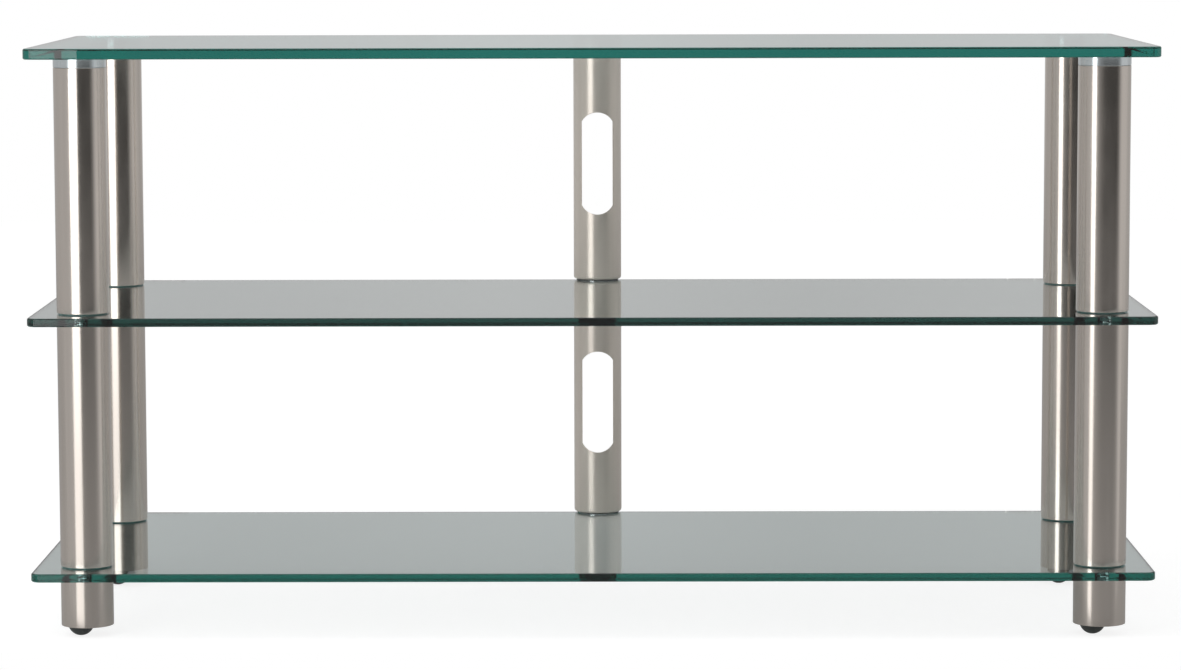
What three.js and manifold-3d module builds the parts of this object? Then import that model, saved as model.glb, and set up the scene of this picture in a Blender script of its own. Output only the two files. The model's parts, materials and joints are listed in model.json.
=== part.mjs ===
// A rack for audio equipment with three glass panels on four round steel posts. Each post is a stack of
// tube sections that clamps the two lower shelves between them, and the top glass is bonded to a disc on
// each post. A half-round cable channel, open at its back, stands at the rear edge of the glass with a slot
// in each bay. The posts stand on levelling feet that screw in and out.
//
// Units are millimetres. +X is to the right, +Y to the back and +Z up. The origin is on the floor, under the
// middle of the glass.

import * as THREE from 'three';
import { mergeVertices } from 'three/addons/utils/BufferGeometryUtils.js';
import Module from 'manifold-3d';

// Glass panels
const glassWidth = 1065;
const glassDepth = 400;
const glassCornerRadius = 10;
const glassArris = 1;
const topGlassThickness = 10;
const shelfThickness = 8;

// Clear heights: from the floor to the bottom shelf, and between the panels
const footHeight = 59;
const lowerBayHeight = 235;
const upperBayHeight = 243;

// Posts. The insets run from the edges of the glass to the post axes.
const postDiameter = 50;
const postWall = 1.5;
const postInsetFromSide = 47.5;
const postInsetFromEdge = 52.5;
const endPlateThickness = 6;
const discHeight = 9;
const discEdgeBreak = 0.6;

// Studs that join the tube sections, and the clear washers that keep steel off the glass
const studDiameter = 10;
const studEndBreak = 1;
const washerDiameter = 48;
const washerThickness = 0.8;
const sleeveWall = 1.4;

// Levelling feet. The pad is a ball cut flat where it stands and where it meets the foot tube.
const footOffsetToLeft = 6.3;
const padHeight = 10;
const padBallRadius = 12.7;
const padFlatDepth = 0.4;
const padLipThickness = 2;
const stemDiameter = 8;
const stemLength = 34;
const stemHeadDiameter = 12;
const stemHeadHeight = 3;

// Cable channel. The column stands a little to the right of the middle of the glass.
const columnOffsetToRight = 4;
const channelDiameter = 49;
const channelWall = 1.5;
const channelCurlRadius = 3;
const channelLipWidth = 1;
const slotWidth = 31.5;
const slotHeight = 105;
const slotEndRise = 9.3;

// Notch in the rear edge of the shelves, with the rubber grommet round it
const notchRadius = 20;
const grommetWeb = 1.4;
const grommetLipThickness = 0.8;
const grommetTopLipWidth = 1.5;
const grommetLipSetback = 0.7;
const topPadThickness = 1;
const topPadWidth = 2;

// Clearances: between flat faces that bear on each other, round studs and stems, and at the pads
const seatGap = 0.1;
const runningGap = 0.3;
const overrun = 5;

// Facets
const postSides = 24;
const washerSides = 16;
const studSides = 12;
const padSides = 16;
const channelSides = 32;
const holeSides = 16;
const cornerSteps = 4;
const curlSteps = 3;
const padSteps = 5;
const notchSteps = 12;
const slotEndSteps = 6;

const satinSteel = new THREE.MeshStandardMaterial({ color: 0xa59e96, roughness: 0.28, metalness: 1 });
const aluminium = new THREE.MeshStandardMaterial({ color: 0xbec6ca, roughness: 0.3, metalness: 1 });
const platedSteel = new THREE.MeshStandardMaterial({ color: 0xb4b6b8, roughness: 0.35, metalness: 1 });
const blackRubber = new THREE.MeshStandardMaterial({ color: 0x222626, roughness: 0.5, metalness: 0 });
const clearVinyl = new THREE.MeshStandardMaterial({
  color: 0x9db5b0,
  roughness: 0.2,
  metalness: 0,
  transparent: true,
  opacity: 0.6,
});
const clearGlass = new THREE.MeshStandardMaterial({
  color: 0x7fb0a4,
  roughness: 0.02,
  metalness: 0,
  transparent: true,
  opacity: 0.35,
});

// Places worked out from the sizes above
const halfWidth = glassWidth / 2;
const halfDepth = glassDepth / 2;
const postX = halfWidth - postInsetFromSide;
const postY = halfDepth - postInsetFromEdge;
const postRadius = postDiameter / 2;
const studRadius = studDiameter / 2;
const boreRadius = studRadius + runningGap;
const sleeveRadius = boreRadius + sleeveWall;
const glassHoleRadius = sleeveRadius + runningGap;
const stemRadius = stemDiameter / 2;
const channelRadius = channelDiameter / 2;
const channelInnerRadius = channelRadius - channelWall;
const grommetLipRadius = channelRadius - grommetLipSetback;
const seatedWasher = washerThickness + 2 * seatGap;

const bottomShelfZ = footHeight;
const middleShelfZ = bottomShelfZ + shelfThickness + lowerBayHeight;
const topGlassZ = middleShelfZ + shelfThickness + upperBayHeight;

const solids = await Module();
solids.setup();

const rack = new THREE.Group();

function add(name, geometry, material, x, y, z) {
  const mesh = new THREE.Mesh(geometry, material);
  mesh.name = name;
  mesh.position.set(x, y, z);
  rack.add(mesh);
}

// Points of an arc, with both of its ends
function arcPoints(centreX, centreY, radius, startAngle, endAngle, steps) {
  const points = [];
  for (let step = 0; step <= steps; step += 1) {
    const angle = startAngle + ((endAngle - startAngle) * step) / steps;
    points.push([centreX + radius * Math.cos(angle), centreY + radius * Math.sin(angle)]);
  }
  return points;
}

function toVectors(points) {
  return points.map(([x, y]) => new THREE.Vector2(x, y));
}

// Turns a profile of [radius, height] points, listed anticlockwise, about the Z axis
function revolve(profile, sides) {
  return new THREE.LatheGeometry(toVectors(profile), sides).rotateX(Math.PI / 2);
}

// The same for a profile that closes on itself away from the axis
function revolveRing(profile, sides) {
  return revolve([...profile, profile[0]], sides);
}

// Geometry to a solid for cutting. Corners that coincide become one, and triangles that this flattens go.
function toSolid(geometry) {
  const bare = geometry.clone();
  bare.deleteAttribute('normal');
  bare.deleteAttribute('uv');
  const merged = mergeVertices(bare);
  const corners = merged.index.array;
  const kept = [];
  for (let start = 0; start < corners.length; start += 3) {
    const [a, b, c] = corners.slice(start, start + 3);
    if (a !== b && b !== c && c !== a) {
      kept.push(a, b, c);
    }
  }
  const mesh = new solids.Mesh({
    numProp: 3,
    vertProperties: merged.attributes.position.array,
    triVerts: Uint32Array.from(kept),
  });
  return new solids.Manifold(mesh);
}

function toGeometry(solid) {
  const mesh = solid.getMesh();
  const geometry = new THREE.BufferGeometry();
  geometry.setAttribute('position', new THREE.BufferAttribute(mesh.vertProperties, 3));
  geometry.setIndex(new THREE.BufferAttribute(mesh.triVerts, 1));
  geometry.computeVertexNormals();
  return geometry;
}

function cut(geometry, ...cutters) {
  return toGeometry(cutters.reduce((solid, cutter) => solid.subtract(toSolid(cutter)), toSolid(geometry)));
}

// Keeps the front half of a ring whose axis is on the rear edge of the glass
function frontHalf(geometry, lowest, highest, ...cutters) {
  const side = channelDiameter + 2 * overrun;
  const rearHalf = new THREE.BoxGeometry(side, side, highest - lowest + 2 * overrun);
  rearHalf.translate(0, side / 2, (lowest + highest) / 2);
  return cut(geometry, rearHalf, ...cutters);
}

// Glass panels

// Outline of a panel, anticlockwise from its front right corner
function glassOutline(notched) {
  const x = halfWidth - glassCornerRadius;
  const y = halfDepth - glassCornerRadius;
  const quarter = Math.PI / 2;
  return [
    ...arcPoints(x, -y, glassCornerRadius, -quarter, 0, cornerSteps),
    ...arcPoints(x, y, glassCornerRadius, 0, quarter, cornerSteps),
    ...(notched ? arcPoints(columnOffsetToRight, halfDepth, notchRadius, 0, -Math.PI, notchSteps) : []),
    ...arcPoints(-x, y, glassCornerRadius, quarter, Math.PI, cornerSteps),
    ...arcPoints(-x, -y, glassCornerRadius, Math.PI, 3 * quarter, cornerSteps),
  ];
}

function circlePath(x, y, radius, sides) {
  return new THREE.Path(toVectors(arcPoints(x, y, radius, 0, 2 * Math.PI, sides).slice(0, sides)));
}

// A panel with its underside at 0. The arris takes off every edge, round the holes as well.
function glassPanel(thickness, notched, holePlaces) {
  const shape = new THREE.Shape(toVectors(glassOutline(notched)));
  shape.holes = holePlaces.map(([x, y]) => circlePath(x, y, glassHoleRadius, holeSides));
  const panel = new THREE.ExtrudeGeometry(shape, {
    depth: thickness - 2 * glassArris,
    bevelThickness: glassArris,
    bevelSize: glassArris,
    bevelOffset: -glassArris,
    bevelSegments: 1,
  });
  return panel.translate(0, 0, glassArris);
}

// Post sections

// A tube with a welded plate in each end, and a stud hole through both plates
function postTube(length) {
  const innerRadius = postRadius - postWall;
  const profile = [
    [boreRadius, 0],
    [postRadius, 0],
    [postRadius, length],
    [boreRadius, length],
    [boreRadius, length - endPlateThickness],
    [innerRadius, length - endPlateThickness],
    [innerRadius, endPlateThickness],
    [boreRadius, endPlateThickness],
  ];
  return revolveRing(profile, postSides);
}

// A foot tube has the stud hole in its top plate, and the stem's hole beside the middle of its bottom plate
function footTube(length) {
  const innerRadius = postRadius - postWall;
  const profile = [
    [0, 0],
    [postRadius, 0],
    [postRadius, length],
    [boreRadius, length],
    [boreRadius, length - endPlateThickness],
    [innerRadius, length - endPlateThickness],
    [innerRadius, endPlateThickness],
    [0, endPlateThickness],
  ];
  const holeLength = endPlateThickness + 2 * overrun;
  const holeRadius = stemRadius + runningGap;
  const hole = new THREE.CylinderGeometry(holeRadius, holeRadius, holeLength, holeSides);
  hole.rotateX(Math.PI / 2);
  hole.translate(-footOffsetToLeft, 0, endPlateThickness / 2);
  return cut(revolve(profile, postSides), hole);
}

// The disc's flat top is bonded to the glass; its spigot screws into the tube below
function bondedDisc(spigotLength) {
  const profile = [
    [0, -spigotLength],
    [studRadius, -spigotLength],
    [studRadius, 0],
    [postRadius - discEdgeBreak, 0],
    [postRadius, discEdgeBreak],
    [postRadius, discHeight - discEdgeBreak],
    [postRadius - discEdgeBreak, discHeight],
    [0, discHeight],
  ];
  return revolve(profile, postSides);
}

function stud(length) {
  const profile = [
    [0, 0],
    [studRadius - studEndBreak, 0],
    [studRadius, studEndBreak],
    [studRadius, length - studEndBreak],
    [studRadius - studEndBreak, length],
    [0, length],
  ];
  return revolve(profile, studSides);
}

// A flange that lies on the glass, with a sleeve down into the stud hole
function sleevedWasher() {
  const sleeveLength = shelfThickness - seatGap;
  const profile = [
    [boreRadius, -sleeveLength],
    [sleeveRadius, -sleeveLength],
    [sleeveRadius, 0],
    [washerDiameter / 2, 0],
    [washerDiameter / 2, washerThickness],
    [boreRadius, washerThickness],
  ];
  return revolveRing(profile, washerSides);
}

function plainWasher() {
  const profile = [
    [boreRadius, 0],
    [washerDiameter / 2, 0],
    [washerDiameter / 2, washerThickness],
    [boreRadius, washerThickness],
  ];
  return revolveRing(profile, washerSides);
}

// Levelling feet

const padSocketTop = padHeight - padLipThickness;
const padSocketFloor = padSocketTop - stemHeadHeight - 2 * runningGap;

// A domed pad with a socket that snaps over the stem's head
function levellingPad() {
  const ballCentreZ = padBallRadius - padFlatDepth;
  const flatAngle = -Math.acos(Math.sqrt(padBallRadius ** 2 - ballCentreZ ** 2) / padBallRadius);
  const topAngle = Math.asin((padHeight - ballCentreZ) / padBallRadius);
  const profile = [
    [0, 0],
    ...arcPoints(0, ballCentreZ, padBallRadius, flatAngle, topAngle, padSteps),
    [stemRadius + runningGap, padHeight],
    [stemRadius + runningGap, padSocketTop],
    [stemHeadDiameter / 2 + runningGap, padSocketTop],
    [stemHeadDiameter / 2 + runningGap, padSocketFloor],
    [0, padSocketFloor],
  ];
  return revolve(profile, padSides);
}

function footStem() {
  const profile = [
    [0, 0],
    [stemHeadDiameter / 2, 0],
    [stemHeadDiameter / 2, stemHeadHeight],
    [stemRadius, stemHeadHeight],
    [stemRadius, stemLength - studEndBreak],
    [stemRadius - studEndBreak, stemLength],
    [0, stemLength],
  ];
  return revolve(profile, studSides);
}

// Cable channel

// The slot has straight sides, and ends that are shallow arcs
function slotCutter(middleZ) {
  const halfSlot = slotWidth / 2;
  const endRadius = (halfSlot ** 2 + slotEndRise ** 2) / (2 * slotEndRise);
  const endAngle = Math.asin(halfSlot / endRadius);
  const quarter = Math.PI / 2;
  const arcCentre = slotHeight / 2 - endRadius;
  const outline = [
    ...arcPoints(0, arcCentre, endRadius, quarter - endAngle, quarter + endAngle, slotEndSteps),
    ...arcPoints(0, -arcCentre, endRadius, 3 * quarter - endAngle, 3 * quarter + endAngle, slotEndSteps),
  ];
  const cutter = new THREE.ExtrudeGeometry(new THREE.Shape(toVectors(outline)), {
    depth: channelRadius + overrun,
    bevelEnabled: false,
  });
  return cutter.rotateX(Math.PI / 2).translate(0, 0, middleZ);
}

// A half-round channel whose lower end curls in to a narrow lip that it stands on
function cableChannel(length) {
  const curlCentre = channelRadius - channelCurlRadius;
  const innerCurlRadius = channelCurlRadius - channelWall;
  const lipRadius = curlCentre - channelLipWidth;
  const quarter = Math.PI / 2;
  const profile = [
    [lipRadius, 0],
    ...arcPoints(curlCentre, channelCurlRadius, channelCurlRadius, -quarter, 0, curlSteps),
    [channelRadius, length],
    [channelInnerRadius, length],
    ...arcPoints(curlCentre, channelCurlRadius, innerCurlRadius, 0, -quarter, curlSteps),
    [lipRadius, channelWall],
  ];
  return frontHalf(revolveRing(profile, channelSides), 0, length, slotCutter(length / 2));
}

// A rubber edging of U section round the notch. Its upper lip lies under the foot of one channel, and its
// wider lower lip over the top end of the other.
function notchGrommet() {
  const outerRadius = notchRadius - runningGap;
  const innerRadius = outerRadius - grommetWeb;
  const topLipRadius = notchRadius + grommetTopLipWidth;
  const underside = -seatGap - grommetLipThickness;
  const topSide = shelfThickness + seatGap + grommetLipThickness;
  const profile = [
    [innerRadius, underside],
    [grommetLipRadius, underside],
    [grommetLipRadius, -seatGap],
    [outerRadius, -seatGap],
    [outerRadius, shelfThickness + seatGap],
    [topLipRadius, shelfThickness + seatGap],
    [topLipRadius, topSide],
    [innerRadius, topSide],
  ];
  return frontHalf(revolveRing(profile, channelSides), underside, topSide);
}

function topPad() {
  const profile = [
    [grommetLipRadius - topPadWidth, 0],
    [grommetLipRadius, 0],
    [grommetLipRadius, topPadThickness],
    [grommetLipRadius - topPadWidth, topPadThickness],
  ];
  return frontHalf(revolveRing(profile, channelSides), 0, topPadThickness);
}

// Assembly

const posts = [
  { corner: 'front_left', x: -postX, y: -postY },
  { corner: 'front_right', x: postX, y: -postY },
  { corner: 'rear_left', x: -postX, y: postY },
  { corner: 'rear_right', x: postX, y: postY },
];
const holePlaces = posts.map(({ x, y }) => [x, y]);

function addGlass() {
  add('top_glass', glassPanel(topGlassThickness, false, []), clearGlass, 0, 0, topGlassZ);
  add('middle_glass_shelf', glassPanel(shelfThickness, true, holePlaces), clearGlass, 0, 0, middleShelfZ);
  add('bottom_glass_shelf', glassPanel(shelfThickness, true, holePlaces), clearGlass, 0, 0, bottomShelfZ);
}

// Washers above and below one shelf, and the stud through it
function addShelfJoint(corner, level, x, y, shelfZ) {
  const shelfTopZ = shelfZ + shelfThickness;
  const studZ = shelfZ - seatedWasher - endPlateThickness;
  const studLength = shelfThickness + 2 * seatedWasher + 2 * endPlateThickness;
  add(`${corner}_${level}_sleeved_washer`, sleevedWasher(), clearVinyl, x, y, shelfTopZ + seatGap);
  add(`${corner}_${level}_plain_washer`, plainWasher(), clearVinyl, x, y, shelfZ - seatedWasher + seatGap);
  add(`${corner}_${level}_stud`, stud(studLength), platedSteel, x, y, studZ);
}

function addPost(corner, x, y) {
  const upperTubeZ = middleShelfZ + shelfThickness + seatedWasher;
  const upperTubeLength = upperBayHeight - seatedWasher - discHeight - 2 * seatGap;
  const discZ = upperTubeZ + upperTubeLength + seatGap;
  const lowerTubeZ = bottomShelfZ + shelfThickness + seatedWasher;
  const lowerTubeLength = lowerBayHeight - 2 * seatedWasher;
  const footTubeZ = padHeight + runningGap;
  const footTubeLength = bottomShelfZ - seatedWasher - footTubeZ;
  const footX = x - footOffsetToLeft;

  add(`${corner}_bonded_disc`, bondedDisc(endPlateThickness + seatGap), aluminium, x, y, discZ);
  add(`${corner}_upper_tube`, postTube(upperTubeLength), satinSteel, x, y, upperTubeZ);
  addShelfJoint(corner, 'middle', x, y, middleShelfZ);
  add(`${corner}_lower_tube`, postTube(lowerTubeLength), satinSteel, x, y, lowerTubeZ);
  addShelfJoint(corner, 'bottom', x, y, bottomShelfZ);
  add(`${corner}_foot_tube`, footTube(footTubeLength), satinSteel, x, y, footTubeZ);
  add(`${corner}_foot_stem`, footStem(), platedSteel, footX, y, padSocketFloor + runningGap);
  add(`${corner}_foot_pad`, levellingPad(), blackRubber, footX, y, 0);
}

// Each channel stands on a grommet's lip. The upper one ends under the top pad, the lower one under the
// middle grommet's other lip.
function addCableColumn() {
  const seatedLip = grommetLipThickness + 2 * seatGap;
  const upperZ = middleShelfZ + shelfThickness + seatedLip;
  const upperLength = upperBayHeight - seatedLip - topPadThickness - 2 * seatGap;
  const lowerZ = bottomShelfZ + shelfThickness + seatedLip;
  const lowerLength = lowerBayHeight - 2 * seatedLip;
  add('upper_cable_channel', cableChannel(upperLength), satinSteel, columnOffsetToRight, halfDepth, upperZ);
  add('lower_cable_channel', cableChannel(lowerLength), satinSteel, columnOffsetToRight, halfDepth, lowerZ);
  add('middle_notch_grommet', notchGrommet(), blackRubber, columnOffsetToRight, halfDepth, middleShelfZ);
  add('bottom_notch_grommet', notchGrommet(), blackRubber, columnOffsetToRight, halfDepth, bottomShelfZ);
  const padZ = upperZ + upperLength + seatGap;
  add('channel_top_pad', topPad(), clearVinyl, columnOffsetToRight, halfDepth, padZ);
}

addGlass();
posts.forEach(({ corner, x, y }) => addPost(corner, x, y));
addCableColumn();

export default rack;
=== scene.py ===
"""The looks of a rack for audio equipment: three clear glass panels on four satin steel posts, with a
slotted cable column behind the middle and levelling feet below.

Units are metres. +X is to the right, +Y to the back and +Z up. Each piece stands for one node of the
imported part, takes its place and reach from that node's box, and adds the wall, edge and thread sizes
given here.
"""
import json
import math

import bmesh
import bpy
from mathutils import Matrix, Vector
from mathutils.geometry import tessellate_polygon

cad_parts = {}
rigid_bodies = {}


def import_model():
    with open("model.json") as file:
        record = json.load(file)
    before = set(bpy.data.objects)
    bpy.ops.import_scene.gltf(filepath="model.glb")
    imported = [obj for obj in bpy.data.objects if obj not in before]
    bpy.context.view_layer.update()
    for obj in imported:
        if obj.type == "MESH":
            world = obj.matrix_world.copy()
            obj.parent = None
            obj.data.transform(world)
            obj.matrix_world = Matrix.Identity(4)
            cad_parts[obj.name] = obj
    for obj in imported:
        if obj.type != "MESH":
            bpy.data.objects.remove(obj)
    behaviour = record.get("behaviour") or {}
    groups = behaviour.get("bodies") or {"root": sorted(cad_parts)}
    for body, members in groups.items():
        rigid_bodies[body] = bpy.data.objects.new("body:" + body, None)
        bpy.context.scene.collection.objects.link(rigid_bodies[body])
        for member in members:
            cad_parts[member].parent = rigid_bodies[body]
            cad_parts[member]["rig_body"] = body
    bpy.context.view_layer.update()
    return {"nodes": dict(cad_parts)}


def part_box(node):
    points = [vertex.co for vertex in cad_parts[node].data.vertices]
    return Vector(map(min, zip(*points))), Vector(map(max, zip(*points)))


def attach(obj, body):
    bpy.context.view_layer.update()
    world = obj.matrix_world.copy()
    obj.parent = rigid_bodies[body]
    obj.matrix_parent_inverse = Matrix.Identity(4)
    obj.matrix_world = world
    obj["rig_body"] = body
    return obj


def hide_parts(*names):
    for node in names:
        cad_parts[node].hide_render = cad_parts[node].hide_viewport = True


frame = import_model()

MM = 0.001

# Glass
GLASS_CORNER = 10 * MM
GLASS_ARRIS = 1 * MM
GLASS_HOLE = 7 * MM
NOTCH_RADIUS = 20 * MM

# Posts and their joints
POST_WALL = 1.5 * MM
END_PLATE = 6 * MM
STUD_BORE = 5.3 * MM
SLEEVE_WALL = 1.4 * MM
FLANGE = 0.8 * MM
DISC_HEIGHT = 9 * MM
DISC_GROOVE = 0.5 * MM
STUD_PITCH = 1.5 * MM
STUD_THREAD = 0.8 * MM

# Levelling feet
PAD_BALL = 12.7 * MM
PAD_FLAT = 0.4 * MM
PAD_LIP = 2 * MM
STEM_BORE = 4.3 * MM
STEM_RADIUS = 4 * MM
STEM_HEAD_HEIGHT = 3 * MM
STEM_PITCH = 1.25 * MM
STEM_THREAD = 0.6 * MM
RUNNING_GAP = 0.3 * MM

# Cable column
CHANNEL_WALL = 1.5 * MM
CHANNEL_CURL = 3 * MM
CHANNEL_LIP = 1 * MM
SLOT_WIDTH = 31.5 * MM
SLOT_HEIGHT = 105 * MM
SLOT_END_RISE = 9.3 * MM
GROMMET_WEB = 1.4 * MM
GROMMET_LIP = 0.8 * MM
GROMMET_TOP_LIP = 1.5 * MM
TOP_PAD_WIDTH = 2 * MM

# Rounding of edges, and how finely round shapes are divided
EDGE_BREAK = 0.3 * MM
FINE_BREAK = 0.15 * MM
BREAK_SEGMENTS = 2
WELD = 0.001 * MM
ROUND_SIDES = 96
THREAD_SIDES = 32
THREAD_ROWS = 8
CORNER_STEPS = 16
NOTCH_STEPS = 48
HOLE_SIDES = 48
CURL_STEPS = 6
PAD_STEPS = 16
SLOT_COLUMNS = 24
SIDE_COLUMNS = 14
SHARP_ANGLE = math.radians(30)
BREAK_ANGLE = math.radians(50)

QUARTER = math.pi / 2
TURN = 2 * math.pi

# Surfaces. Colours go in pairs, dark and light, and roughnesses in pairs, low and high.
WHITE = (1, 1, 1, 1)
STEEL_COLOURS = ((0.695, 0.633, 0.577), (0.725, 0.663, 0.607))
STEEL_ROUGHNESS = (0.17, 0.235)
CHANNEL_COLOURS = ((0.91, 0.82, 0.735), (0.95, 0.86, 0.775))
CHANNEL_ROUGHNESS = (0.29, 0.34)
CHANNEL_METALLIC = 0.42
ALUMINIUM_COLOURS = ((0.72, 0.77, 0.79), (0.78, 0.83, 0.85))
ALUMINIUM_ROUGHNESS = (0.2, 0.26)
STEEL_ANISOTROPY = 0.3
ALUMINIUM_ANISOTROPY = 0.6
QUARTER_ROTATION = 0.25
PLATE_COLOURS = ((0.58, 0.59, 0.6), (0.68, 0.69, 0.7))
PLATE_ROUGHNESS = (0.22, 0.34)
RUBBER_COLOURS = ((0.055, 0.066, 0.064), (0.075, 0.086, 0.083))
RUBBER_ROUGHNESS = (0.32, 0.42)
VINYL_COLOURS = ((0.3, 0.52, 0.49), (0.36, 0.6, 0.56))
VINYL_ROUGHNESS = (0.12, 0.2)
VINYL_TRANSMISSION = 0.55
VINYL_REFRACTION = 1.45
GLASS_REFRACTION = 1.52
GLASS_HAZE = (0.0, 0.003)
GLASS_TINT_DENSITY = 12
TOP_GLASS_TINT = (0.1, 0.717, 0.675)
# The middle shelf is the same glass as the bottom one, but its tint is darker: the extra darkness is
# painted shade for the darker surroundings seen through its edge.
MIDDLE_GLASS_TINT_AND_SHADE = (0.19, 0.504, 0.463)
BOTTOM_GLASS_TINT = (0.12, 0.7, 0.65)

# Noise in the surfaces: about how often it changes in a metre along each axis, its detail, where most of
# its values lie, and the height of the bumps that it makes
DRAWING_GRAIN = (180, 180, 2)
METAL_CLOUD = (40, 40, 12)
PLATE_CLOUD = (300, 300, 300)
MOULD_GRAIN = (900, 900, 900)
RUBBER_CLOUD = (120, 120, 120)
VINYL_CLOUD = (400, 400, 400)
GLASS_CLOUD = (9, 9, 9)
PAPER_CLOUD = (3, 3, 3)
NOISE_DETAIL = 3.0
DRAWING_DETAIL = 2.0
GLASS_DETAIL = 4.0
NOISE_REACH = (0.3, 0.7)
DRAWING_BUMP = 0.003 * MM
MOULD_BUMP = 0.03 * MM


# Nodes

def feed(tree, socket, value):
    """Sets a socket to a number or a colour, or links another socket to it"""
    if isinstance(value, bpy.types.NodeSocket):
        tree.links.new(value, socket)
    else:
        socket.default_value = value


def calculated(tree, operation, first, second):
    node = tree.nodes.new("ShaderNodeMath")
    node.operation = operation
    feed(tree, node.inputs[0], first)
    feed(tree, node.inputs[1], second)
    return node.outputs["Value"]


def mapped(tree, value, source, target, smooth=False):
    """A value mapped from one range to another, and kept inside it"""
    node = tree.nodes.new("ShaderNodeMapRange")
    if smooth:
        node.interpolation_type = "SMOOTHSTEP"
    feed(tree, node.inputs["Value"], value)
    for name, bound in zip(("From Min", "From Max", "To Min", "To Max"), (*source, *target)):
        feed(tree, node.inputs[name], bound)
    return node.outputs["Result"]


def blended(tree, share, first, second, kind="RGBA"):
    """A colour or a number between two, by a share from 0 to 1"""
    node = tree.nodes.new("ShaderNodeMix")
    node.data_type = kind
    feed(tree, node.inputs["Factor"], share)
    feed(tree, node.inputs["A"], first)
    feed(tree, node.inputs["B"], second)
    return node.outputs["Result"]


def separated(tree, vector):
    node = tree.nodes.new("ShaderNodeSeparateXYZ")
    tree.links.new(vector, node.inputs["Vector"])
    return node.outputs


def noise(tree, scale, detail=NOISE_DETAIL):
    """Noise in the piece's own coordinates, with a scale for each axis"""
    place = tree.nodes.new("ShaderNodeTexCoord")
    stretch = tree.nodes.new("ShaderNodeMapping")
    stretch.inputs["Scale"].default_value = scale
    texture = tree.nodes.new("ShaderNodeTexNoise")
    texture.inputs["Scale"].default_value = 1.0
    texture.inputs["Detail"].default_value = detail
    tree.links.new(place.outputs["Object"], stretch.inputs["Vector"])
    tree.links.new(stretch.outputs["Vector"], texture.inputs["Vector"])
    return texture.outputs["Fac"]


# Materials

def new_material(name):
    material = bpy.data.materials.new(name)
    material.use_nodes = True
    tree = material.node_tree
    return material, tree, tree.nodes["Principled BSDF"]


def set_inputs(shader, **values):
    """Sets sockets by name, with _ for a space"""
    for name, value in values.items():
        shader.inputs[name.replace("_", " ")].default_value = value


def vary(tree, socket, value, low, high):
    """Spreads noise over a range, and gives it to a socket"""
    tree.links.new(mapped(tree, value, NOISE_REACH, (low, high)), socket)


def vary_colour(tree, shader, value, dark, light):
    """Spreads noise between two colours, as the shader's base colour"""
    share = mapped(tree, value, NOISE_REACH, (0.0, 1.0))
    tree.links.new(blended(tree, share, (*dark, 1), (*light, 1)), shader.inputs["Base Color"])


def add_bump(tree, shader, value, distance):
    bump = tree.nodes.new("ShaderNodeBump")
    bump.inputs["Distance"].default_value = distance
    bump.inputs["Strength"].default_value = 1.0
    tree.links.new(value, bump.inputs["Height"])
    tree.links.new(bump.outputs["Normal"], shader.inputs["Normal"])


def make_satin_metal(name, colours, roughness, anisotropy, metallic=1.0):
    """Metal polished round its axis, so that reflections blur along the axis, with faint drawing lines.
    What the metallic share leaves is matt."""
    material, tree, shader = new_material(name)
    set_inputs(shader, Metallic=metallic, Anisotropic=anisotropy, Anisotropic_Rotation=QUARTER_ROTATION)
    tangent = tree.nodes.new("ShaderNodeTangent")
    tangent.direction_type = "RADIAL"
    tangent.axis = "Z"
    tree.links.new(tangent.outputs["Tangent"], shader.inputs["Tangent"])
    drawing = noise(tree, DRAWING_GRAIN, DRAWING_DETAIL)
    vary_colour(tree, shader, drawing, *colours)
    vary(tree, shader.inputs["Roughness"], noise(tree, METAL_CLOUD), *roughness)
    add_bump(tree, shader, drawing, DRAWING_BUMP)
    return material


def make_plated_steel():
    """Bright zinc plate with a slight cloudiness"""
    material, tree, shader = new_material("plated_steel")
    set_inputs(shader, Metallic=1.0)
    cloud = noise(tree, PLATE_CLOUD)
    vary_colour(tree, shader, cloud, *PLATE_COLOURS)
    vary(tree, shader.inputs["Roughness"], cloud, *PLATE_ROUGHNESS)
    return material


def make_rubber():
    """Smooth moulded black rubber with a fine moulding texture"""
    material, tree, shader = new_material("black_rubber")
    cloud = noise(tree, RUBBER_CLOUD)
    vary_colour(tree, shader, cloud, *RUBBER_COLOURS)
    vary(tree, shader.inputs["Roughness"], cloud, *RUBBER_ROUGHNESS)
    add_bump(tree, shader, noise(tree, MOULD_GRAIN), MOULD_BUMP)
    return material


def make_vinyl():
    """Clear soft vinyl, which takes the glass's green on edge"""
    material, tree, shader = new_material("clear_vinyl")
    set_inputs(shader, Transmission_Weight=VINYL_TRANSMISSION, IOR=VINYL_REFRACTION)
    cloud = noise(tree, VINYL_CLOUD)
    vary_colour(tree, shader, cloud, *VINYL_COLOURS)
    vary(tree, shader.inputs["Roughness"], cloud, *VINYL_ROUGHNESS)
    return material


def make_glass(name, tint):
    """Clear float glass: a white surface, a tint that grows with depth, and the faintest haze. Where a
    panel's tint is darker than its glass's own, the extra darkness is painted shade.
    """
    material, tree, shader = new_material(name)
    set_inputs(shader, Transmission_Weight=1.0, IOR=GLASS_REFRACTION, Base_Color=WHITE)
    vary(tree, shader.inputs["Roughness"], noise(tree, GLASS_CLOUD, GLASS_DETAIL), *GLASS_HAZE)
    depth = tree.nodes.new("ShaderNodeVolumeAbsorption")
    depth.inputs["Color"].default_value = (*tint, 1)
    depth.inputs["Density"].default_value = GLASS_TINT_DENSITY
    tree.links.new(depth.outputs["Volume"], tree.nodes["Material Output"].inputs["Volume"])
    return material


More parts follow.
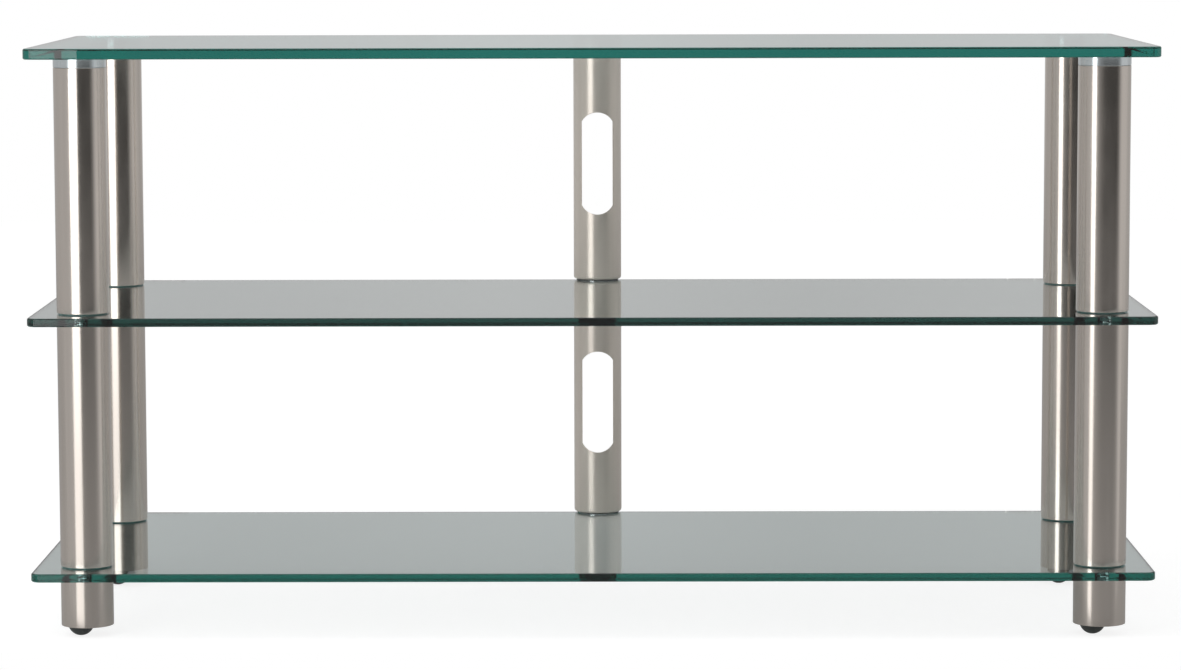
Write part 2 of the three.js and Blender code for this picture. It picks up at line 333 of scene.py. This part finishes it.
steel = make_satin_metal("satin_steel", STEEL_COLOURS, STEEL_ROUGHNESS, STEEL_ANISOTROPY)
channel_steel = make_satin_metal("satin_channel_steel", CHANNEL_COLOURS, CHANNEL_ROUGHNESS,
                                 STEEL_ANISOTROPY, CHANNEL_METALLIC)
aluminium = make_satin_metal("aluminium", ALUMINIUM_COLOURS, ALUMINIUM_ROUGHNESS, ALUMINIUM_ANISOTROPY)
plated_steel = make_plated_steel()
rubber = make_rubber()
vinyl = make_vinyl()
glass_of = {
    "top_glass": make_glass("top_glass_tint", TOP_GLASS_TINT),
    # The middle shelf's darker tint carries painted shade as well as the glass's own green.
    "middle_glass_shelf": make_glass("middle_glass_tint_and_painted_shade", MIDDLE_GLASS_TINT_AND_SHADE),
    "bottom_glass_shelf": make_glass("bottom_glass_tint", BOTTOM_GLASS_TINT),
}


# Shapes

def place_of(node):
    """Of an upright round node: the foot of its axis, its length and its radius"""
    low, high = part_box(node)
    return Vector(((low.x + high.x) / 2, (low.y + high.y) / 2, low.z)), high.z - low.z, (high.x - low.x) / 2


def arc(centre_x, centre_y, radius, start, end, steps):
    """Points of an arc, with both of its ends"""
    angles = [start + (end - start) * step / steps for step in range(steps + 1)]
    return [(centre_x + radius * math.cos(angle), centre_y + radius * math.sin(angle)) for angle in angles]


def add_piece(node, place, vertices, faces, material):
    """Makes the mesh that stands for a node: it rides on the node's body, and the node is hidden"""
    mesh = bpy.data.meshes.new(f"{node}_shape")
    mesh.from_pydata(vertices, [], faces)
    shape = bmesh.new()
    shape.from_mesh(mesh)
    bmesh.ops.remove_doubles(shape, verts=shape.verts, dist=WELD)
    bmesh.ops.dissolve_degenerate(shape, edges=shape.edges, dist=WELD)
    bmesh.ops.recalc_face_normals(shape, faces=shape.faces)
    shape.to_mesh(mesh)
    shape.free()
    mesh.shade_smooth()
    mesh.set_sharp_from_angle(angle=SHARP_ANGLE)
    mesh.materials.append(material)
    piece = bpy.data.objects.new(f"{node}_detail", mesh)
    piece.location = place
    bpy.context.scene.collection.objects.link(piece)
    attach(piece, frame["nodes"][node]["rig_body"])
    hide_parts(node)
    return piece


def break_edges(piece, width):
    """Rounds the sharp edges"""
    bevel = piece.modifiers.new("edge_break", "BEVEL")
    bevel.width = width
    bevel.segments = BREAK_SEGMENTS
    bevel.limit_method = "ANGLE"
    bevel.angle_limit = BREAK_ANGLE
    bevel.harden_normals = True


def ring(radius, height, sides, shift=0.0):
    """Points of a level circle, shifted along X"""
    angles = [TURN * side / sides for side in range(sides)]
    return [(radius * math.cos(angle) + shift, radius * math.sin(angle), height) for angle in angles]


def faces_between(below, above, sides):
    """Faces that join two rings, each given by the number of its first vertex"""
    faces = []
    for side in range(sides):
        following = (side + 1) % sides
        faces.append((below + side, below + following, above + following, above + side))
    return faces


def joined(rings, closed):
    """Vertices and faces of rings joined one to the next. A closed shape's last ring is joined to its
    first."""
    vertices = [point for points in rings for point in points]
    sides = len(rings[0])
    faces = []
    for row in range(len(rings) if closed else len(rings) - 1):
        faces += faces_between(row * sides, (row + 1) % len(rings) * sides, sides)
    return vertices, faces


def turned(profile, closed=True):
    """Vertices and faces of a profile turned through a full turn. A point of it is its radius, its height
    and, where it has one, its shift along X."""
    rings = [ring(radius, height, ROUND_SIDES, sum(shift)) for radius, height, *shift in profile]
    return joined(rings, closed)


def half_turned(profile):
    """Vertices and faces of a closed profile turned through the front half, with its two ends closed"""
    sides = ROUND_SIDES // 2
    count = len(profile)
    vertices = []
    for side in range(sides + 1):
        angle = -math.pi + math.pi * side / sides
        for radius, height in profile:
            vertices.append((radius * math.cos(angle), radius * math.sin(angle), height))
    faces = [tuple(range(count)), tuple(range(sides * count, (sides + 1) * count))]
    for side in range(sides):
        for point in range(count):
            following = (point + 1) % count
            here = side * count
            there = here + count
            faces.append((here + point, here + following, there + following, there + point))
    return vertices, faces


# Glass panels

def panel_outline(half_x, half_y, inset, notch_x):
    """Outline of a panel, anticlockwise, drawn in by the inset. Without a notch, notch_x is None."""
    x = half_x - GLASS_CORNER
    y = half_y - GLASS_CORNER
    radius = GLASS_CORNER - inset
    points = arc(x, -y, radius, -QUARTER, 0, CORNER_STEPS)
    points += arc(x, y, radius, 0, QUARTER, CORNER_STEPS)
    if notch_x is not None:
        reach = NOTCH_RADIUS + inset
        start = math.asin(inset / reach)
        points += arc(notch_x, half_y, reach, -start, start - math.pi, NOTCH_STEPS)
    points += arc(-x, y, radius, QUARTER, math.pi, CORNER_STEPS)
    points += arc(-x, -y, radius, math.pi, 3 * QUARTER, CORNER_STEPS)
    return points


def panel_loops(half_x, half_y, inset, holes, notch_x):
    loops = [panel_outline(half_x, half_y, inset, notch_x)]
    loops += [arc(x, y, GLASS_HOLE + inset, 0, TURN, HOLE_SIDES)[:-1] for x, y in holes]
    return loops


def add_panel(node, holes=(), notch_x=None):
    """A panel with a polished arris along every edge, round the holes and the notch as well"""
    low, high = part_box(node)
    half_x = (high.x - low.x) / 2
    half_y = (high.y - low.y) / 2
    thickness = high.z - low.z
    levels = [(GLASS_ARRIS, 0), (0, GLASS_ARRIS), (0, thickness - GLASS_ARRIS), (GLASS_ARRIS, thickness)]
    vertices = []
    faces = []
    starts = []
    for inset, height in levels:
        loops = panel_loops(half_x, half_y, inset, holes, notch_x)
        triangles = tessellate_polygon([[Vector((x, y, 0)) for x, y in loop] for loop in loops])
        first = len(vertices)
        if height in (0, thickness):
            faces += [tuple(first + corner for corner in triangle) for triangle in triangles]
        starts.append(first)
        vertices += [(x, y, height) for loop in loops for x, y in loop]
    lengths = [len(loop) for loop in loops]
    for below, above in zip(starts, starts[1:]):
        offset = 0
        for length in lengths:
            faces += faces_between(below + offset, above + offset, length)
            offset += length
    panel = add_piece(node, Vector((0, 0, low.z)), vertices, faces, glass_of[node])
    flatten = panel.modifiers.new("flat_faces", "WEIGHTED_NORMAL")
    flatten.keep_sharp = True


# Posts

def tube_profile(radius, length, bottom_bore, shift):
    """A tube with a plate in each end. The bottom plate's hole may lie to one side of the axis."""
    inside = radius - POST_WALL
    return [
        (bottom_bore, 0, shift),
        (radius, 0),
        (radius, length),
        (STUD_BORE, length),
        (STUD_BORE, length - END_PLATE),
        (inside, length - END_PLATE),
        (inside, END_PLATE),
        (bottom_bore, END_PLATE, shift),
    ]


def add_tube(node, bottom_bore=STUD_BORE, shift=0.0):
    place, length, radius = place_of(node)
    piece = add_piece(node, place, *turned(tube_profile(radius, length, bottom_bore, shift)), steel)
    break_edges(piece, EDGE_BREAK)


def add_disc(node):
    """A disc with broken edges and a fine groove over its spigot"""
    place, length, radius = place_of(node)
    spigot = length - DISC_HEIGHT
    profile = [
        (0, 0),
        (STUD_BORE - RUNNING_GAP, 0),
        (STUD_BORE - RUNNING_GAP, spigot),
        (radius - DISC_GROOVE, spigot),
        (radius - DISC_GROOVE, spigot + DISC_GROOVE),
        (radius, spigot + DISC_GROOVE),
        (radius, length),
        (0, length),
    ]
    piece = add_piece(node, place, *turned(profile, closed=False), aluminium)
    break_edges(piece, FINE_BREAK)


def add_sleeved_washer(node):
    """A flange that lies on the glass, with a sleeve down into the stud hole"""
    place, length, radius = place_of(node)
    profile = [
        (STUD_BORE, 0),
        (STUD_BORE + SLEEVE_WALL, 0),
        (STUD_BORE + SLEEVE_WALL, length - FLANGE),
        (radius, length - FLANGE),
        (radius, length),
        (STUD_BORE, length),
    ]
    piece = add_piece(node, place, *turned(profile), vinyl)
    break_edges(piece, FINE_BREAK)


def add_plain_washer(node):
    place, length, radius = place_of(node)
    profile = [(STUD_BORE, 0), (radius, 0), (radius, length), (STUD_BORE, length)]
    piece = add_piece(node, place, *turned(profile), vinyl)
    break_edges(piece, FINE_BREAK)


def thread_rings(radius, depth, pitch, start, end):
    """Rings of a threaded length, whose points lie in and out with the helix"""
    rows = math.ceil((end - start) / pitch * THREAD_ROWS)
    rings = []
    for row in range(rows + 1):
        height = start + (end - start) * row / rows
        points = []
        for side in range(THREAD_SIDES):
            angle = TURN * side / THREAD_SIDES
            phase = (height / pitch - angle / TURN) % 1
            reach = radius - depth * abs(2 * phase - 1)
            points.append((reach * math.cos(angle), reach * math.sin(angle), height))
        rings.append(points)
    return rings


def add_threaded_rod(node, depth, pitch, head_height=0.0, shank_radius=None):
    """A rod with a thread up to its far end, from its head where it has one. The thread runs out in a
    chamfer at each free end."""
    place, length, radius = place_of(node)
    foot = [(radius - depth, 0)]
    if head_height:
        foot = [(radius, 0), (radius, head_height), (shank_radius, head_height)]
        radius = shank_radius
    rings = [ring(foot_radius, height, THREAD_SIDES) for foot_radius, height in foot]
    rings += thread_rings(radius, depth, pitch, head_height + depth, length - depth)
    rings.append(ring(radius - depth, length, THREAD_SIDES))
    vertices, faces = joined(rings, closed=False)
    faces.append(tuple(range(THREAD_SIDES)))
    faces.append(tuple(range(len(vertices) - THREAD_SIDES, len(vertices))))
    add_piece(node, place, vertices, faces, plated_steel)


# Levelling feet

def add_pad(node, stem_node):
    """A domed pad, cut flat where it stands, with a socket that snaps over the stem's head"""
    place, height, _ = place_of(node)
    stem_place, _, head_radius = place_of(stem_node)
    ball_centre = PAD_BALL - PAD_FLAT
    flat_radius = math.sqrt(PAD_BALL ** 2 - ball_centre ** 2)
    flat_angle = -math.acos(flat_radius / PAD_BALL)
    top_angle = math.asin((height - ball_centre) / PAD_BALL)
    socket_floor = stem_place.z - place.z - RUNNING_GAP
    socket_radius = head_radius + RUNNING_GAP
    profile = [
        (0, 0),
        *arc(0, ball_centre, PAD_BALL, flat_angle, top_angle, PAD_STEPS),
        (STEM_BORE, height),
        (STEM_BORE, height - PAD_LIP),
        (socket_radius, height - PAD_LIP),
        (socket_radius, socket_floor),
        (0, socket_floor),
    ]
    piece = add_piece(node, place, *turned(profile, closed=False), rubber)
    break_edges(piece, FINE_BREAK)


# Cable column

def column_place(node):
    """Of a half-round node: the foot of its axis, which lies in its open back, its length and its radius"""
    low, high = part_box(node)
    return Vector(((low.x + high.x) / 2, high.y, low.z)), high.z - low.z, (high.x - low.x) / 2


def channel_columns():
    """For each column of the shell's points, from its left open edge to its right one, a function that
    gives its angle at a radius. Columns over the slot keep one X through the wall, so the slot's sides run
    straight back."""
    half = SLOT_WIDTH / 2

    def over_slot(x):
        return lambda radius: -math.acos(x / radius)

    def beside_slot(side, share):
        edge = -math.pi if side < 0 else 0.0
        return lambda radius: edge + (-math.acos(side * half / radius) - edge) * share

    left = [beside_slot(-1, step / SIDE_COLUMNS) for step in range(SIDE_COLUMNS)]
    middle = [over_slot(-half + SLOT_WIDTH * step / SLOT_COLUMNS) for step in range(SLOT_COLUMNS + 1)]
    right = [beside_slot(1, 1 - step / SIDE_COLUMNS) for step in range(1, SIDE_COLUMNS + 1)]
    return left + middle + right


def slot_reach(x):
    """Half the slot's height at a distance from its middle line"""
    half = SLOT_WIDTH / 2
    end_radius = (half ** 2 + SLOT_END_RISE ** 2) / (2 * SLOT_END_RISE)
    across = min(abs(x), half)
    return SLOT_HEIGHT / 2 - end_radius + math.sqrt(end_radius ** 2 - across ** 2)


def channel_vertices(columns, radius, length):
    """The outer side's points and then the inner side's, column by column. A column goes from the lip
    through the curl to the slot's lower end, its upper end and the top."""
    curl_centre = radius - CHANNEL_CURL
    lip = curl_centre - CHANNEL_LIP
    vertices = []
    for depth in (0, CHANNEL_WALL):
        wall = radius - depth
        curl = arc(curl_centre, CHANNEL_CURL, CHANNEL_CURL - depth, -QUARTER, 0, CURL_STEPS)
        for angle_at in columns:
            reach = slot_reach(radius * math.cos(angle_at(radius)))
            slot_ends = [(wall, length / 2 - reach), (wall, length / 2 + reach)]
            for point_radius, height in [(lip, depth), *curl, *slot_ends, (wall, length)]:
                angle = angle_at(point_radius)
                vertices.append((point_radius * math.cos(angle), point_radius * math.sin(angle), height))
    return vertices


def channel_faces(columns, rows):
    """Faces over both sides, with the slot left open, and through the wall along every edge"""
    # The last three rows are the slot's lower end, its upper end and the top
    low_row = rows - 3

    def at(side, column, row):
        return (side * len(columns) + column) * rows + row

    slot_first = SIDE_COLUMNS
    slot_last = SIDE_COLUMNS + SLOT_COLUMNS
    faces = []
    for column in range(len(columns) - 1):
        over_slot = slot_first <= column < slot_last
        for side in (0, 1):
            for row in range(rows - 1):
                if not (over_slot and row == low_row):
                    faces.append((at(side, column, row), at(side, column + 1, row),
                                  at(side, column + 1, row + 1), at(side, column, row + 1)))
        for row in [0, rows - 1] + ([low_row, low_row + 1] if over_slot else []):
            faces.append((at(0, column, row), at(0, column + 1, row),
                          at(1, column + 1, row), at(1, column, row)))
    for column in (slot_first, slot_last):
        faces.append((at(0, column, low_row), at(0, column, low_row + 1),
                      at(1, column, low_row + 1), at(1, column, low_row)))
    for column in (0, len(columns) - 1):
        for row in range(rows - 1):
            faces.append((at(0, column, row), at(0, column, row + 1),
                          at(1, column, row + 1), at(1, column, row)))
    return faces


def centre_grain(mesh, radius, length):
    """Centres the mesh's generated coordinates on the shell's axis, because its grain runs round their
    middle"""
    mesh.use_auto_texspace = False
    mesh.texspace_location = (0, 0, length / 2)
    mesh.texspace_size = (radius, radius, length / 2)


def add_channel(node):
    """A half-round shell whose lower end curls in to a narrow lip, with a slot at mid height"""
    place, length, radius = column_place(node)
    columns = channel_columns()
    vertices = channel_vertices(columns, radius, length)
    rows = len(vertices) // (2 * len(columns))
    piece = add_piece(node, place, vertices, channel_faces(columns, rows), channel_steel)
    centre_grain(piece.data, radius, length)
    break_edges(piece, EDGE_BREAK)


def add_grommet(node):
    """A rubber edging of U section round the notch"""
    place, height, lip_radius = column_place(node)
    top_lip_radius = NOTCH_RADIUS + GROMMET_TOP_LIP
    outer = NOTCH_RADIUS - RUNNING_GAP
    profile = [
        (outer - GROMMET_WEB, 0),
        (lip_radius, 0),
        (lip_radius, GROMMET_LIP),
        (outer, GROMMET_LIP),
        (outer, height - GROMMET_LIP),
        (top_lip_radius, height - GROMMET_LIP),
        (top_lip_radius, height),
        (outer - GROMMET_WEB, height),
    ]
    piece = add_piece(node, place, *half_turned(profile), rubber)
    break_edges(piece, EDGE_BREAK)


def add_top_pad(node):
    place, height, radius = column_place(node)
    profile = [(radius - TOP_PAD_WIDTH, 0), (radius, 0), (radius, height), (radius - TOP_PAD_WIDTH, height)]
    piece = add_piece(node, place, *half_turned(profile), vinyl)
    break_edges(piece, FINE_BREAK)


# Assembly

corners = ["front_left", "front_right", "rear_left", "rear_right"]
hole_places = [place_of(f"{corner}_middle_stud")[0].xy for corner in corners]
add_panel("top_glass")
add_panel("middle_glass_shelf", hole_places, column_place("middle_notch_grommet")[0].x)
add_panel("bottom_glass_shelf", hole_places, column_place("bottom_notch_grommet")[0].x)

for corner in corners:
    add_disc(f"{corner}_bonded_disc")
    add_tube(f"{corner}_upper_tube")
    add_tube(f"{corner}_lower_tube")
    for level in ("middle", "bottom"):
        add_sleeved_washer(f"{corner}_{level}_sleeved_washer")
        add_plain_washer(f"{corner}_{level}_plain_washer")
        add_threaded_rod(f"{corner}_{level}_stud", STUD_THREAD, STUD_PITCH)
    stem_node = f"{corner}_foot_stem"
    pad_node = f"{corner}_foot_pad"
    tube_node = f"{corner}_foot_tube"
    shift = place_of(pad_node)[0].x - place_of(tube_node)[0].x
    add_tube(tube_node, STEM_BORE, shift)
    add_threaded_rod(stem_node, STEM_THREAD, STEM_PITCH, STEM_HEAD_HEIGHT, STEM_RADIUS)
    add_pad(pad_node, stem_node)

add_channel("upper_cable_channel")
add_channel("lower_cable_channel")
add_grommet("middle_notch_grommet")
add_grommet("bottom_notch_grommet")
add_top_pad("channel_top_pad")


# Studio: a table with white paper, a tall soft light at the front left that reaches below the table's
# top, pale walls that are dark in front, a bright ceiling, and grey ground below the table

FLOOR_LEFT = -3.0
FLOOR_RIGHT = 3.0
FLOOR_FRONT = -0.24
FLOOR_BACK = 5.0
PAPER_ROUGHNESS = 0.9
PAPER_SHADES = (0.27, 0.29)
# The paper's own glow: for most rays, for the camera, and the least that clear glass sees. The camera's
# paper fades to white over a strip at its front edge.
PAPER_GLOW = 0.2
PAPER_LIFT = 0.84
GLASS_PAPER_GLOW = 0.25
PAPER_FADE = 0.08
# Brightness of the walls towards a direction, in degrees from the front, with the right as positive
WALLS = [(-180, 0.595), (-178.5, 0.61), (-175, 0.57), (-165, 0.575), (-140, 0.47), (-120, 0.47),
         (-100, 0.5), (-45, 0.48), (-30, 0.25), (-15, 0.1), (-5, 0.03), (5, 0.01), (50, 0.01), (60, 0.16),
         (68, 0.45), (78, 0.62), (105, 0.58), (125, 0.46), (140, 0.46), (165, 0.575), (174, 0.595),
         (177, 0.56), (180, 0.595)]
# Least brightness of the surroundings in and through clear glass
GLASS_SURROUND = 0.4
# The walls' share of brightness from a height over the horizon on, which it nears from the horizon up
WALL_DIM_SHARE = 0.775
WALL_DIM_ABOVE = math.radians(10)
# The ground, under the horizon, and the ceiling, each with the heights between which it fades
GROUND_LIGHT = 0.42
GROUND_TOP = math.radians(-5.5)
GROUND_BOTTOM = math.radians(-8.5)
CEILING_LIGHT = 0.8
CEILING_BOTTOM = math.radians(28)
CEILING_TOP = math.radians(48)
SOFTBOX_MIDDLE = Vector((-1.114, -1.4, 0.65))
SOFTBOX_FACING = Vector((0, 1, 0))
SOFTBOX_WIDTH = 0.954
SOFTBOX_HEIGHT = 3.0
SOFTBOX_POWER = 26.0
# The softbox's share of brightness up to one height, and the height from which it is at its full power
SOFTBOX_DIM_BELOW = 0.0
SOFTBOX_DIM_SHARE = 0.34
SOFTBOX_FULL_ABOVE = 0.45


def seen_by(tree):
    """Two shares from 0 to 1: whether the camera sees a point straight, and whether clear glass lets the
    light from it through or reflects it. Satin metal's reflections are not sharp and don't count."""
    path = tree.nodes.new("ShaderNodeLightPath").outputs
    sharp = calculated(tree, "MULTIPLY", path["Is Glossy Ray"], path["Is Singular Ray"])
    return path["Is Camera Ray"], calculated(tree, "MAXIMUM", sharp, path["Is Transmission Ray"])


def make_floor():
    """Paper that is nearly white for the camera, pale in clear glass, and of a middle grey for all else"""
    mesh = bpy.data.meshes.new("floor_sheet")
    outline = [(FLOOR_LEFT, FLOOR_FRONT, 0), (FLOOR_RIGHT, FLOOR_FRONT, 0),
               (FLOOR_RIGHT, FLOOR_BACK, 0), (FLOOR_LEFT, FLOOR_BACK, 0)]
    mesh.from_pydata(outline, [], [(0, 1, 2, 3)])
    floor = bpy.data.objects.new("floor", mesh)
    bpy.context.scene.collection.objects.link(floor)
    material, tree, shader = new_material("floor_paper")
    set_inputs(shader, Roughness=PAPER_ROUGHNESS, Specular_IOR_Level=0.0, Emission_Color=WHITE)
    mottle = tree.nodes.new("ShaderNodeCombineColor")
    shade = mapped(tree, noise(tree, PAPER_CLOUD), NOISE_REACH, PAPER_SHADES)
    for channel in ("Red", "Green", "Blue"):
        tree.links.new(shade, mottle.inputs[channel])
    tree.links.new(mottle.outputs["Color"], shader.inputs["Base Color"])
    place = separated(tree, tree.nodes.new("ShaderNodeTexCoord").outputs["Object"])
    in_camera, in_glass = seen_by(tree)
    lift = mapped(tree, place["Y"], (FLOOR_FRONT, FLOOR_FRONT + PAPER_FADE), (1.0, PAPER_LIFT))
    glow = mapped(tree, in_camera, (0.0, 1.0), (PAPER_GLOW, lift))
    glass_glow = calculated(tree, "MULTIPLY", in_glass, GLASS_PAPER_GLOW)
    tree.links.new(calculated(tree, "MAXIMUM", glow, glass_glow), shader.inputs["Emission Strength"])
    mesh.materials.append(material)


def wall_brightness(tree, direction):
    """The brightness of the walls round the horizon, by their direction from the front"""
    share = mapped(tree, calculated(tree, "ARCTAN2", direction["X"], direction["Y"]),
                   (-math.pi, math.pi), (0.0, 1.0))
    ramp = tree.nodes.new("ShaderNodeValToRGB")
    tree.links.new(share, ramp.inputs["Fac"])
    first = WALLS[0][0]
    last = WALLS[-1][0]
    stops = ramp.color_ramp.elements
    for degrees, _ in WALLS[1:-1]:
        stops.new((degrees - first) / (last - first))
    for stop, (_, brightness) in zip(stops, WALLS):
        stop.color = (brightness, brightness, brightness, 1)
    return ramp.outputs["Color"]


def make_walls():
    """Walls all round whose brightness goes by direction, with a bright ceiling, over ground that shows
    below the table's level. Clear glass sees at least pale walls, and the camera sees white."""
    world = bpy.data.worlds.new("studio")
    bpy.context.scene.world = world
    world.use_nodes = True
    tree = world.node_tree
    background = tree.nodes["Background"]
    background.inputs["Color"].default_value = WHITE
    # Y runs to the back, so its sign is changed to count directions from the front
    from_front = tree.nodes.new("ShaderNodeVectorMath")
    from_front.operation = "MULTIPLY"
    from_front.inputs[1].default_value = (1, -1, 1)
    place = tree.nodes.new("ShaderNodeTexCoord")
    tree.links.new(place.outputs["Generated"], from_front.inputs[0])
    direction = separated(tree, from_front.outputs["Vector"])
    height = direction["Z"]
    dimming = mapped(tree, height, (0.0, math.sin(WALL_DIM_ABOVE)), (1.0, WALL_DIM_SHARE))
    ground_fade = (math.sin(GROUND_BOTTOM), math.sin(GROUND_TOP))
    ceiling_fade = (math.sin(CEILING_BOTTOM), math.sin(CEILING_TOP))
    ground = mapped(tree, height, ground_fade, (GROUND_LIGHT, 0.0), smooth=True)
    ceiling = mapped(tree, height, ceiling_fade, (0.0, CEILING_LIGHT), smooth=True)
    walls = calculated(tree, "MULTIPLY", wall_brightness(tree, direction), dimming)
    over_ground = calculated(tree, "MAXIMUM", walls, ground)
    studio = calculated(tree, "MAXIMUM", over_ground, ceiling)
    in_camera, in_glass = seen_by(tree)
    pale = calculated(tree, "MULTIPLY", in_glass, GLASS_SURROUND)
    surround = calculated(tree, "MAXIMUM", studio, pale)
    tree.links.new(blended(tree, in_camera, surround, 1.0, "FLOAT"), background.inputs["Strength"])


def make_softbox():
    """A tall soft light that is dimmer towards its foot"""
    data = bpy.data.lights.new("softbox", "AREA")
    data.shape = "RECTANGLE"
    data.size = SOFTBOX_WIDTH
    data.size_y = SOFTBOX_HEIGHT
    data.energy = SOFTBOX_POWER
    data.use_nodes = True
    tree = data.node_tree
    place = separated(tree, tree.nodes.new("ShaderNodeNewGeometry").outputs["Position"])
    share = mapped(tree, place["Z"], (SOFTBOX_DIM_BELOW, SOFTBOX_FULL_ABOVE), (SOFTBOX_DIM_SHARE, 1.0))
    tree.links.new(share, tree.nodes["Emission"].inputs["Strength"])
    lamp = bpy.data.objects.new("softbox", data)
    lamp.location = SOFTBOX_MIDDLE
    lamp.rotation_euler = SOFTBOX_FACING.to_track_quat("-Z", "Y").to_euler()
    lamp.visible_camera = False
    bpy.context.scene.collection.objects.link(lamp)


# Camera, at the photograph's place and angle

IMAGE_WIDTH = 1181
FOCAL_PIXELS = 4084.2
SENSOR_WIDTH = 36.0
CAMERA_PLACE = Vector((0.01572, -4.0158, 0.69306))
CAMERA_PITCH = -0.10427
CAMERA_YAW = -0.00454
CAMERA_ROLL = 0.00239


def make_camera():
    data = bpy.data.cameras.new("camera")
    data.sensor_fit = "HORIZONTAL"
    data.sensor_width = SENSOR_WIDTH
    data.lens = SENSOR_WIDTH * FOCAL_PIXELS / IMAGE_WIDTH
    camera = bpy.data.objects.new("camera", data)
    forward = Vector((
        math.sin(CAMERA_YAW) * math.cos(CAMERA_PITCH),
        math.cos(CAMERA_YAW) * math.cos(CAMERA_PITCH),
        math.sin(CAMERA_PITCH),
    ))
    level_right = Vector((math.cos(CAMERA_YAW), -math.sin(CAMERA_YAW), 0))
    level_up = level_right.cross(forward)
    right = math.cos(CAMERA_ROLL) * level_right - math.sin(CAMERA_ROLL) * level_up
    up = math.sin(CAMERA_ROLL) * level_right + math.cos(CAMERA_ROLL) * level_up
    turn = Matrix((right, up, -forward)).transposed().to_4x4()
    camera.matrix_world = Matrix.Translation(CAMERA_PLACE) @ turn
    bpy.context.scene.collection.objects.link(camera)
    bpy.context.scene.camera = camera


# Light bounces many times inside the edge of a glass panel
MOST_BOUNCES = 32
MOST_GLASS_BOUNCES = 24


def set_light_paths():
    cycles = bpy.context.scene.cycles
    cycles.max_bounces = MOST_BOUNCES
    cycles.glossy_bounces = MOST_GLASS_BOUNCES
    cycles.transmission_bounces = MOST_GLASS_BOUNCES


make_floor()
make_walls()
make_softbox()
make_camera()
set_light_paths()
bpy.context.scene.view_settings.view_transform = "Standard"
